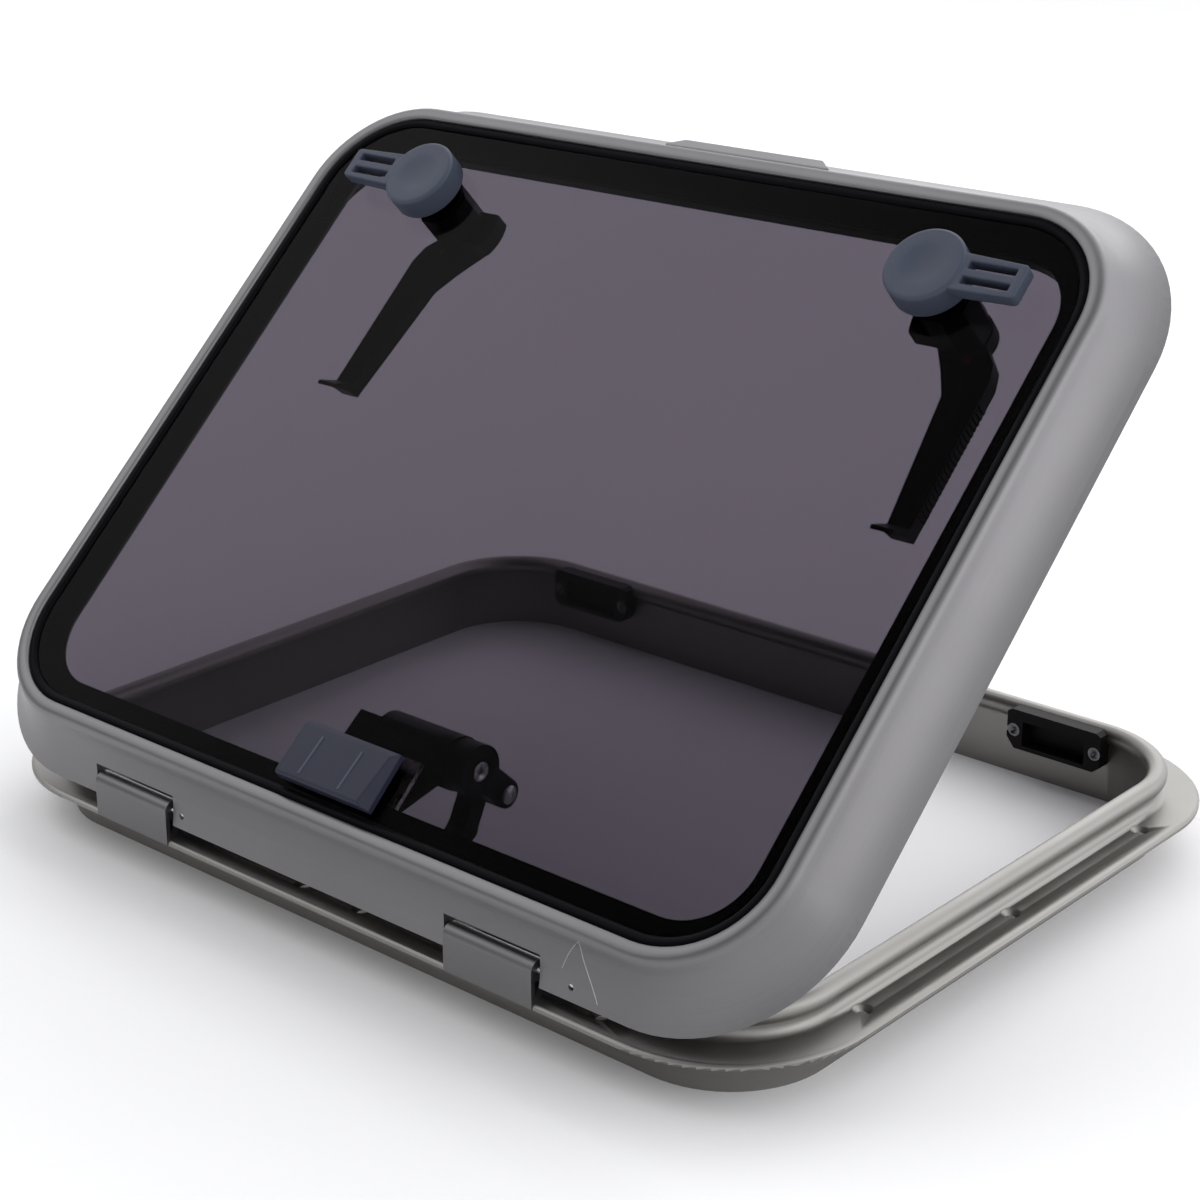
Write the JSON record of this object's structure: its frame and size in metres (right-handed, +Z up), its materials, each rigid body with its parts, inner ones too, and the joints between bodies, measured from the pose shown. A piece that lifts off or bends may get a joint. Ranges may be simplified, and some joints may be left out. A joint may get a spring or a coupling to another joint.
{
  "type": "deck hatch",
  "caption": "Low-profile boat deck hatch: flanged aluminium base frame, hinged lid with a smoked pane, turning latch handles and a friction stay.",
  "frame": {"origin": "centre of the deck screw pattern, on the underside of the flange where it meets the deck", "axes": "+Z up out of the deck, -Y towards the hinge side, +X along the hinge to the right when seen from the hinge side"},
  "size_m": [0.568, 0.4389, 0.3566],
  "materials": {
    "anodised_aluminium": "satin anodised, fine brushing along the length",
    "stainless_steel": "brushed",
    "smoked_acrylic": "polished, smoked grey, see-through",
    "black_rubber": "matt",
    "black_plastic": "fine moulded texture",
    "slate_plastic": "fine moulded texture",
    "red_plastic": "gloss"
  },
  "bodies": {
    "base": {"base_frame": "anodised_aluminium", "hinge_knuckle_left": "anodised_aluminium", "hinge_knuckle_right": "anodised_aluminium", "keeper_left": "black_plastic", "keeper_right": "black_plastic", "keeper_screws": "stainless_steel", "stay_base_bracket": "black_plastic", "stay_bracket_screws": "stainless_steel", "stay_base_pin": "stainless_steel"},
    "lid": {"lid_frame": "anodised_aluminium", "hinge_pin_left": "stainless_steel", "hinge_pin_right": "stainless_steel", "pin_set_screws": "stainless_steel", "glass_pane": "smoked_acrylic", "glazing_gasket": "black_rubber", "bonding_band": "black_rubber", "lid_seal": "black_rubber", "lift_lip": "anodised_aluminium", "stay_cover": "slate_plastic", "stay_cover_gasket": "black_rubber", "stay_clamp_plate": "stainless_steel", "stay_barrel_housing": "black_plastic", "stay_clamp_screws": "stainless_steel", "spindle_bush_left": "black_plastic", "spindle_bush_right": "black_plastic", "spindle_o_ring_left": "black_rubber", "spindle_o_ring_right": "black_rubber"},
    "stay_upper": {"stay_upper_link": "black_plastic", "stay_barrel_screw": "stainless_steel", "stay_elbow_pin": "stainless_steel"},
    "stay_lower": {"stay_lower_link": "black_plastic"},
    "handle_left": {"outer_handle_left": "slate_plastic", "spindle_left": "stainless_steel", "inner_lever_left": "black_plastic", "lever_screw_left": "stainless_steel", "button_spring_left": "stainless_steel"},
    "button_left": {"lock_button_left": "red_plastic"},
    "handle_right": {"outer_handle_right": "slate_plastic", "spindle_right": "stainless_steel", "inner_lever_right": "black_plastic", "lever_screw_right": "stainless_steel", "button_spring_right": "stainless_steel"},
    "button_right": {"lock_button_right": "red_plastic"}
  },
  "joints": [
    {"name": "lid_hinge", "type": "hinge", "parent": "base", "child": "lid", "pos_m": [0, -0.2135, 0.0185], "axis": [1, 0, 0], "range_deg": [-42.8, 7.2]},
    {"name": "stay_upper_pivot", "type": "hinge", "parent": "lid", "child": "stay_upper", "pos_m": [0.05, -0.15571, 0.06942], "axis": [1, 0, 0], "range_deg": [-9.5, 53]},
    {"name": "stay_lower_pivot", "type": "hinge", "parent": "base", "child": "stay_lower", "pos_m": [0.035, -0.1775, 0.0015], "axis": [1, 0, 0], "range_deg": [-50.5, 9]},
    {"name": "handle_turn_left", "type": "hinge", "parent": "lid", "child": "handle_left", "pos_m": [-0.1705, 0.04613, 0.29299], "axis": [0, -0.6794, 0.7337], "range_deg": [0, 90]},
    {"name": "lock_button_press_left", "type": "slide", "parent": "handle_left", "child": "button_left", "axis": [0, -0.6794, 0.7337], "range_m": [0, 0.002], "stiffness_N_per_m": 400, "springref_m": -0.001},
    {"name": "handle_turn_right", "type": "hinge", "parent": "lid", "child": "handle_right", "pos_m": [0.1705, 0.04613, 0.29299], "axis": [0, -0.6794, 0.7337], "range_deg": [-90, 0]},
    {"name": "lock_button_press_right", "type": "slide", "parent": "handle_right", "child": "button_right", "axis": [0, -0.6794, 0.7337], "range_m": [0, 0.002], "stiffness_N_per_m": 400, "springref_m": -0.001}
  ],
  "couplings": [
    {"joint": "stay_upper_pivot", "follows": "lid_hinge", "ratio": -1.2195},
    {"joint": "stay_lower_pivot", "follows": "lid_hinge", "ratio": 1.1666}
  ]
}
